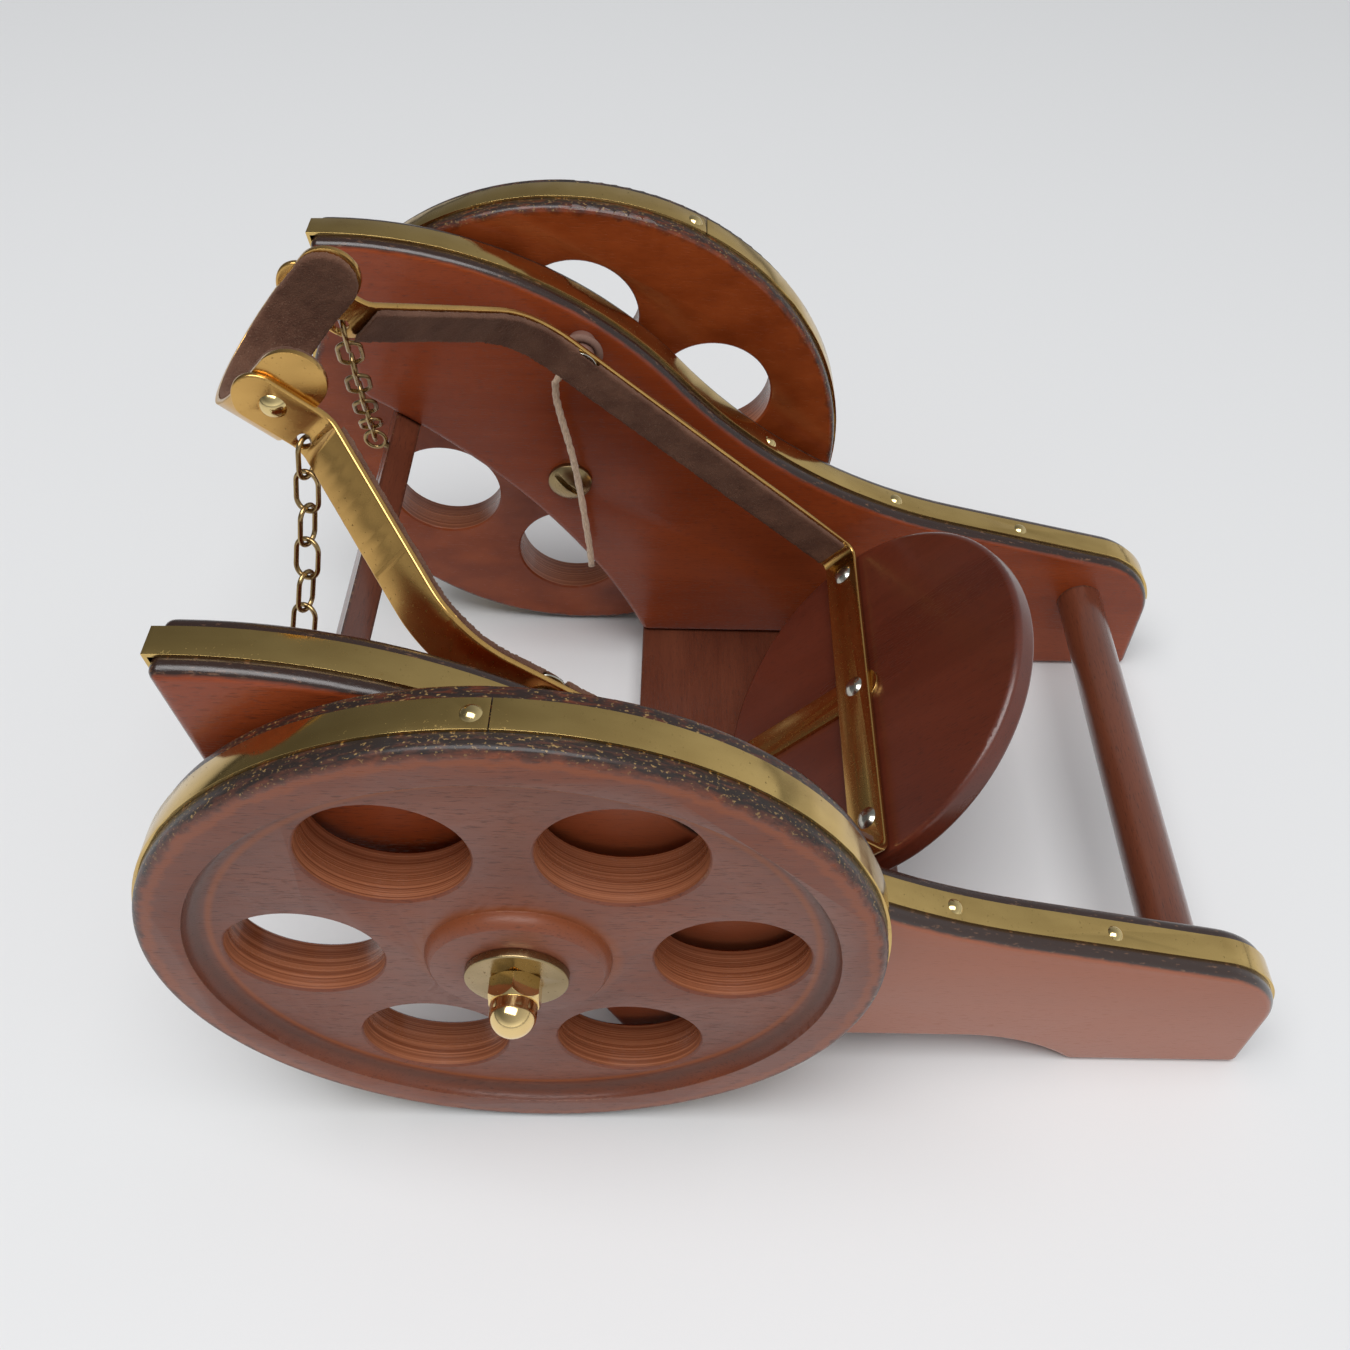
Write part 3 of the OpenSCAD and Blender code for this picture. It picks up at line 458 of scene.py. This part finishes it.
brass, given, result = group(
    "aged_brass",
    {"Place": "Vector", "Bright": "Color", "Dull": "Color", "Tarnish": "Float"},
    {"Color": "Color", "Roughness": "Float", "Height": "Float"},
)
lines = cloud(brass, given["Place"], (60, 0.12, 60), detail=2)
smears = cloud(brass, given["Place"], (14, 6, 14), detail=2)
specks = rescale(brass, cloud(brass, given["Place"], (0.7, 0.7, 0.7), detail=2), 0.66, 0.76)
dulled = calc(brass, "MULTIPLY", rescale(brass, smears, 0.38, 0.72), given["Tarnish"])
tint = mix(brass, dulled, given["Bright"], given["Dull"])
tint = mix(brass, calc(brass, "MULTIPLY", specks, 0.6), tint, (0.10, 0.065, 0.02, 1))
uneven = calc(brass, "MULTIPLY", dulled, 0.12)
uneven = calc(brass, "ADD", uneven, calc(brass, "MULTIPLY", lines, 0.06))
uneven = calc(brass, "ADD", uneven, calc(brass, "MULTIPLY", specks, 0.3))
fill(brass, result, {"Color": tint, "Roughness": uneven, "Height": lines})


def brassy(name, bright, dull, tarnish=0.7, satin=0.12, turn=(0, 0, 0)):
    """Brass with fine rolling lines across y, once turned. The more satin, the less shine."""
    made, tree, surface = material(name)
    place = millimetres(tree, turn)
    skin = use(tree, brass, {"Place": place, "Bright": bright, "Dull": dull, "Tarnish": tarnish})
    rough = calc(tree, "ADD", skin["Roughness"], satin)
    emboss(tree, surface, skin["Height"], 0.03, 0.05)
    fill(tree, surface, {"Base Color": skin["Color"], "Roughness": rough, "Metallic": 1.0})
    return made


strip_brass = brassy("strip_brass", (0.68, 0.47, 0.17, 1), (0.46, 0.30, 0.10, 1), 0.5, 0.10)
pin_brass = brassy("pin_brass", (0.78, 0.60, 0.28, 1), (0.50, 0.38, 0.16, 1), 0.4)
for side in ("left", "right"):
    strip = f"{side}_cheek_strip"
    finished(f"{side}_cheek_band", strip, "carriage", "strip_brass", strip_brass, 0.3, 3)
    finished(f"{side}_band_pins", f"{side}_strip_pins", "carriage", "pin_brass", pin_brass)

# ---- Wheels --------------------------------------------------------------------------------
# Each wheel is turned from one board, with six round holes bored between rim and boss. The outer
# face is sunk there, and a brass strip with a pinned joint runs round the rim.

# Where each ring of the outer face starts and ends, in millimetres from the axle.
boss_foot = (18.6, 20.5)
bored_ring = (20, 60.5)
cove_lip = (60.2, 61.4)
cove = (62.2, 64.6)
rubbed_ring = (72.4, 74.2)
dark_rim = (74.2, 76.2)
outer_side = (80, 84)  # the wheel's two faces, from the middle of the carriage

wheel_wood, tree, surface = material("wheel_wood")
place = millimetres(tree, centre=(axle_x, 0, axle_z))
flat = put(tree, "VectorMath", {0: place, 1: (1, 0, 1)}, operation="MULTIPLY").outputs[0]
out = put(tree, "VectorMath", {0: flat}, operation="LENGTH").outputs["Value"]
depth = calc(tree, "ABSOLUTE", axes(tree, place)["Y"])
facing = calc(tree, "ABSOLUTE", axes(tree, put(tree, "TexCoord").outputs["Normal"])["Y"])
outer_face = rescale(tree, depth, *outer_side)
board = use(tree, grain, {
    "Place": place, "Light": (0.235, 0.066, 0.030, 1), "Dark": (0.150, 0.038, 0.018, 1),
    "Fleck": (0.050, 0.015, 0.009, 1),
})
worn = use(tree, edge_and_chips, {"Radius": 0.8 * MM, "Place": place})
blotch = cloud(tree, place, (16, 9, 9), detail=4)
patchy = rescale(tree, blotch, 0.35, 0.7)
inner_colour = mix(tree, patchy, (0.20, 0.035, 0.007, 1), (0.31, 0.062, 0.014, 1))
# Painted sheen and real dust: patches of the outer face are whitened to a dusty mauve, partly a
# bloom on the lacquer and partly a painted reflection of the bright floor.
bloom_and_sheen = both(tree, outer_face, rescale(tree, blotch, 0.35, 0.7, 0.0, 0.35))
colour = mix(tree, outer_face, inner_colour, board["Color"])
colour = mix(tree, bloom_and_sheen, colour, (0.16, 0.075, 0.060, 1))
# Painted shade: the cove under the rim's lip is darkened.
cove_shade = both(tree, between(tree, out, *cove, 0.9), outer_face)
colour = mix(tree, both(tree, cove_shade, 0.55), colour, (0.050, 0.022, 0.014, 1))
# Painted reflected light: the cove's lip and the boss's foot are warmed to a glowing orange.
lip, foot = between(tree, out, *cove_lip, 0.4), between(tree, out, *boss_foot, 1.2)
orange_glow = both(tree, calc(tree, "ADD", lip, foot, clamp=True), outer_face)
colour = mix(tree, both(tree, orange_glow, 0.7), colour, (0.30, 0.075, 0.014, 1))
bore = both(tree, between(tree, out, *bored_ring, 0.5), rescale(tree, facing, 0.3, 0.6, 1.0, 0.0))
rings = cloud(tree, place, (160, 0.4, 160), detail=3)
cut = rescale(tree, rings, 0.40, 0.62)
colour = mix(tree, bore, colour, mix(tree, cut, (0.24, 0.072, 0.030, 1), (0.46, 0.170, 0.080, 1)))
scuffed = cloud(tree, place, (3.5, 0.8, 3.5), detail=5)
worn_out = calc(tree, "ADD", out, calc(tree, "MULTIPLY", scuffed, 4.0))
rim_edge = rescale(tree, worn_out, *dark_rim)
rubbed = both(tree, between(tree, worn_out, *rubbed_ring, 0.5), outer_face)
colour = mix(tree, both(tree, rubbed, 0.55), colour, (0.30, 0.075, 0.020, 1))
colour = mix(tree, both(tree, rim_edge, 0.96), colour, (0.013, 0.010, 0.009, 1))
colour = mix(tree, both(tree, worn["Bare"], 0.5), colour, (0.42, 0.21, 0.09, 1))
flakes = rescale(tree, cloud(tree, place, (0.8, 0.5, 0.8), detail=2), 0.60, 0.70)
gilt = both(tree, both(tree, rim_edge, flakes), 0.8)
colour = mix(tree, gilt, colour, (0.40, 0.25, 0.09, 1))
rough = calc(tree, "ADD", board["Roughness"], rescale(tree, outer_face, 0, 1, 0.08, 0.26))
rough = calc(tree, "ADD", rough, both(tree, rim_edge, 0.15))
turned = calc(tree, "ADD", both(tree, bore, rings), both(tree, rim_edge, scuffed))
relief = calc(tree, "ADD", calc(tree, "MULTIPLY", board["Height"], 0.25), turned)
emboss(tree, surface, relief, 0.35, 0.3)
fill(tree, surface, {
    "Base Color": colour, "Roughness": rough, "Specular IOR Level": 0.3,
    "Coat Weight": rescale(tree, rim_edge, 0, 1, 0.12, 0.4), "Coat Roughness": 0.22,
})

for side in ("left", "right"):
    body = f"{side}_wheel"
    finished(f"{side}_wheel", f"{side}_wheel_disc", body, "wheel_wood", wheel_wood, 0.3, 2)
    finished(f"{side}_tyre", f"{side}_wheel_strip", body, "strip_brass", strip_brass, 0.3, 3)
    finished(f"{side}_tyre_pin", f"{side}_wheel_strip_pin", body, "pin_brass", pin_brass)

# ---- Axles ---------------------------------------------------------------------------------
# A slotted bolt runs out through each cheek and wheel, with a washer on either side of the
# wheel and a polished cap nut at its end.

plated = brassy("plated_steel", (0.42, 0.31, 0.16, 1), (0.26, 0.19, 0.09, 1), 0.8, 0.2)
nut_brass = brassy("nut_brass", (0.92, 0.68, 0.32, 1), (0.62, 0.42, 0.17, 1), 0.4, 0.08)
for side in ("left", "right"):
    finished(f"{side}_axle_bolt", f"{side}_axle", "carriage", "plated_steel", plated, 0.2, 2)
    inner, outer = f"{side}_inner_washer", f"{side}_outer_washer"
    finished(f"{side}_spacer_washer", inner, "carriage", "plated_steel", plated, 0.2, 2)
    finished(f"{side}_axle_washer", outer, "carriage", "plated_steel", plated, 0.15, 2)
    finished(f"{side}_axle_nut", f"{side}_cap_nut", "carriage", "nut_brass", nut_brass, 0.2, 3)

# ---- Cradle --------------------------------------------------------------------------------
# A turned disc takes the bottle's base. A bent brass strap is screwed across it and carries the
# band for the neck, and a short lower strap runs under it to the rim.

cradle_slope = math.radians(41.93)
# The disc's paler, pinker edge colour is a painted highlight along its rounded rim.
disc_wood = wood(
    "disc_wood", (0.120, 0.024, 0.011, 1), (0.070, 0.013, 0.006, 1), (0.16, 0.050, 0.034, 1),
    turn=(0, math.pi / 2 - cradle_slope, 0), coat=0.3,
)
strap_brass = brassy(
    "strap_brass", (0.67, 0.40, 0.125, 1), (0.50, 0.29, 0.085, 1), 0.4, 0.18,
    (math.pi / 2, -cradle_slope, 0),
)
steel = brassy("nickel_plate", (0.62, 0.60, 0.52, 1), (0.40, 0.38, 0.32, 1), 0.5, 0.15)
finished("cradle_disc", "bottle_disc", "cradle", "disc_wood", disc_wood)


# The strap in millimetres. Its foot is where it leaves the cross strap, in a bend of its own.
arm_lean = {"left": 3, "right": 0}
end_out = {"left": 23.25, "right": 13.25}
foot_bend_out, foot_bend_up, foot_bend_radius = 47, 4.95, 3
end_run = 30
steps = 24


def arm_line(side, turn, upper_r, end_r, end_s):
    """Middle of an arm as (distance from the disc, distance out), with two bends of given radii."""
    lean, turn = math.radians(arm_lean[side]), math.radians(turn)
    foot_out = foot_bend_out + foot_bend_radius * math.cos(lean)
    foot_s = foot_bend_up - foot_bend_radius * math.sin(lean)
    drop = end_out[side] - foot_out
    drop += upper_r * (math.cos(lean) - math.cos(turn)) + end_r * (1 - math.cos(turn))
    rise = end_s - foot_s - upper_r * (math.sin(turn) + math.sin(lean)) - end_r * math.sin(turn)
    straight = (drop * math.cos(turn) + rise * math.sin(turn)) / math.sin(lean + turn)
    inward = (rise * math.sin(lean) - drop * math.cos(lean)) / math.sin(lean + turn)
    line = [(foot_s, foot_out)]
    for length, start, angle, radius in (
        (straight, -lean, 0, 0), (0, -lean, lean + turn, upper_r), (inward, turn, 0, 0),
        (0, turn, -turn, end_r), (end_run, 0, 0, 0),
    ):
        for i in range(steps):
            step = radius * abs(angle) / steps or length / steps
            heading = start + angle * (i + 0.5) / steps
            s, out = line[-1]
            line.append((s + step * math.cos(heading), out - step * math.sin(heading)))
    return line


def reading(line, s):
    """How far out the line is at s, and the cosine of its slope there."""
    for (s0, out0), (s1, out1) in zip(line, line[1:]):
        if s0 <= s <= s1:
            run = math.hypot(s1 - s0, out1 - out0)
            return out0 + (out1 - out0) * (s - s0) / (s1 - s0), (s1 - s0) / run
    return line[-1][1], 1.0


cradle_up = Vector((-math.cos(cradle_slope), 0, math.sin(cradle_slope)))
cradle_across = Vector((math.sin(cradle_slope), 0, math.cos(cradle_slope)))
cradle_foot = Vector((28.66, 0, 55.3))
# Degrees an arm turns in, the radii of its two bends, and how far up the second one ends.
packed_arm = {"left": (50, 25, 25, 153.4), "right": (56, 25, 25, 153.4)}
worked_arm = {"left": (44, 25, 6, 157), "right": (44, 30, 6, 157)}
first_bend = 12
half_width, spread_edge = 4.75, 1.2


def bend_arms(mesh):
    """Gives the arms in a mesh their true bends, and their lower edge its full width."""
    for side, sign in (("left", -1), ("right", 1)):
        packed = arm_line(side, *packed_arm[side])
        worked = arm_line(side, *worked_arm[side])
        for point in mesh.vertices:
            spot = point.co / MM - cradle_foot
            s, t, out = spot.dot(cradle_up), spot.dot(cradle_across), spot.y * sign
            if out < 0:
                continue
            if s > first_bend:
                was, was_cos = reading(packed, s)
                now, now_cos = reading(worked, s)
                out = now + (out - was) * was_cos / now_cos
            if t < 0:
                t -= spread_edge * (-t / half_width) ** 3
            moved = cradle_foot + cradle_up * s + cradle_across * t
            point.co = Vector((moved.x, out * sign, moved.z)) * MM


bent_strap = finished(
    "cradle_strap", "bent_strap", "cradle", "cradle_brass", strap_brass, 0.5, 4, hole_share=0.3,
)

# The upper arms are sliced across, so that they can take a smooth bend. No slice falls next to a
# corner that is already there.
near_edge = 4.5
lowest_slice, slice_step, slices = 95, 0.75, 90
too_near = 0.3
doubled_corner, narrow_slice, sliver = 0.35 * MM, 0.12 * MM, 0.02 * MM
shape = bmesh.new()
shape.from_mesh(bent_strap.data)
borders = [v for v in shape.verts if abs((v.co / MM - cradle_foot).dot(cradle_across)) > near_edge]
bmesh.ops.remove_doubles(shape, verts=borders, dist=doubled_corner)
spots = [v.co / MM - cradle_foot for v in shape.verts]
corners = [spot.dot(cradle_up) for spot in spots if abs(spot.dot(cradle_across)) > near_edge]
for i in range(slices):
    height = lowest_slice + slice_step * i
    if min(abs(height - corner) for corner in corners) < too_near:
        continue
    cut = (cradle_foot + cradle_up * height) * MM
    everything = shape.verts[:] + shape.edges[:] + shape.faces[:]
    bmesh.ops.bisect_plane(
        shape, geom=everything, plane_co=cut, plane_no=cradle_up, dist=0.001 * MM,
    )
bmesh.ops.remove_doubles(shape, verts=shape.verts, dist=narrow_slice)
bmesh.ops.dissolve_degenerate(shape, edges=shape.edges, dist=sliver)
shape.to_mesh(bent_strap.data)
shape.free()
bend_arms(bent_strap.data)
finished("lower_strap", "disc_strap", "cradle", "cradle_brass", strap_brass, 0.2, 2)
finished("neck_band", "neck_clip", "cradle", "cradle_brass", strap_brass, 0.2, 2)
finished("strap_screws", "disc_screws", "cradle", "screw_steel", steel)
finished("neck_rivets", "clip_rivets", "cradle", "pin_brass", pin_brass)

# ---- Suede ---------------------------------------------------------------------------------
# Strips of dark brown suede are glued inside the arms and the neck band. Their nap is brushed
# in patches, and their cut edges are uneven.

suede, tree, surface = material("suede")
place = millimetres(tree)
nap = cloud(tree, place, (0.35, 0.35, 0.35), detail=4)
patches = cloud(tree, place, (7, 7, 7), detail=5)
patches = rescale(tree, patches, 0.36, 0.68)
tint = mix(tree, patches, (0.092, 0.040, 0.025, 1), (0.150, 0.071, 0.044, 1))
tint = mix(tree, rescale(tree, nap, 0.58, 0.72, 0, 0.6), tint, (0.24, 0.15, 0.10, 1))
emboss(tree, surface, nap, 0.9, 0.4)
fill(tree, surface, {
    "Base Color": tint, "Roughness": 0.95, "Specular IOR Level": 0.15, "Sheen Weight": 0.25,
    "Sheen Tint": (0.75, 0.5, 0.38, 1),
})


narrower = 0.04  # share of its width that an arm's lining loses
patch_lift, nap_lift = 0.07, 0.16


def napped(node):
    """A soft copy of a CAD lining: one fine skin, pushed in and out by its nap."""
    shape = bmesh.new()
    shape.from_mesh(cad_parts[node].data)
    bmesh.ops.remove_doubles(shape, verts=shape.verts, dist=same_corner)
    piece = new_piece(f"{node}_suede", shape, "cradle", "suede")
    skin = piece.modifiers.new("skin", "REMESH")
    skin.mode = "VOXEL"
    skin.voxel_size = 0.45 * MM
    evaluated = piece.evaluated_get(bpy.context.evaluated_depsgraph_get())
    whole = bpy.data.meshes.new_from_object(evaluated)
    piece.modifiers.clear()
    piece.data = whole
    whole.materials.append(suede)
    whole.shade_smooth()
    for point, normal in [(v, v.normal.copy()) for v in whole.vertices]:
        spot = point.co / MM
        lift = patch_lift * noise.noise(spot * 0.8) + nap_lift * noise.noise(spot * 2.7)
        point.co += normal * lift * MM
    if "arm" in node:
        for point in whole.vertices:
            across = (point.co - cradle_foot * MM).dot(cradle_across)
            point.co -= cradle_across * across * narrower
        bend_arms(whole)
    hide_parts(node)


for node in ("neck_lining", "left_arm_lining", "right_arm_lining"):
    napped(node)

# ---- Trunnions and chains ------------------------------------------------------------------
# A low-headed screw through each arm lets the cradle tilt, on a plastic spacer tube. A brass
# chain on each side runs from the arm's end down to an eye in the front slat. The twine's loop
# lies round the right spacer.

# The spacer tube is pale plastic. Its darker pinkish brown here is painted shade.
shaded_spacer, tree, surface = material("shaded_spacer")
milky = cloud(tree, millimetres(tree), (2, 2, 2))
tint = mix(tree, milky, (0.16, 0.08, 0.06, 1), (0.24, 0.13, 0.10, 1))
fill(tree, surface, {"Base Color": tint, "Roughness": 0.4})
chain_brass = brassy("chain_brass", (0.42, 0.29, 0.13, 1), (0.18, 0.12, 0.055, 1), 0.9, 0.2)
for side in ("left", "right"):
    screw, spacer = f"{side}_pivot_screw", f"{side}_pivot_spacer"
    finished(f"{side}_trunnion_screw", screw, "carriage", "screw_steel", steel, 0.15, 2)
    finished(f"{side}_trunnion_spacer", spacer, "carriage", "pale_spacer", shaded_spacer, 0.3, 2)
    finished(f"{side}_chain_eye", f"{side}_eye", "carriage", "chain_brass", chain_brass)
    chain = finished(f"{side}_chain", f"{side}_link_chain", None, "chain_brass", chain_brass)
    low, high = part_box(f"{side}_chain")
    foot_y, head_y = (low.y, high.y) if side == "left" else (high.y, low.y)
    foot = (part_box(f"{side}_chain_eye")[0].x, foot_y, low.z)
    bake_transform(chain)

shaded_twine, tree, surface = material("shaded_twine")
worn = cloud(tree, millimetres(tree), (0.4, 0.4, 0.4))
tint = mix(tree, worn, (0.12, 0.06, 0.045, 1), (0.26, 0.15, 0.11, 1))
fill(tree, surface, {"Base Color": tint, "Roughness": 0.9})
finished("twine_loop", "twine_knot", "carriage", "twine", shaded_twine)
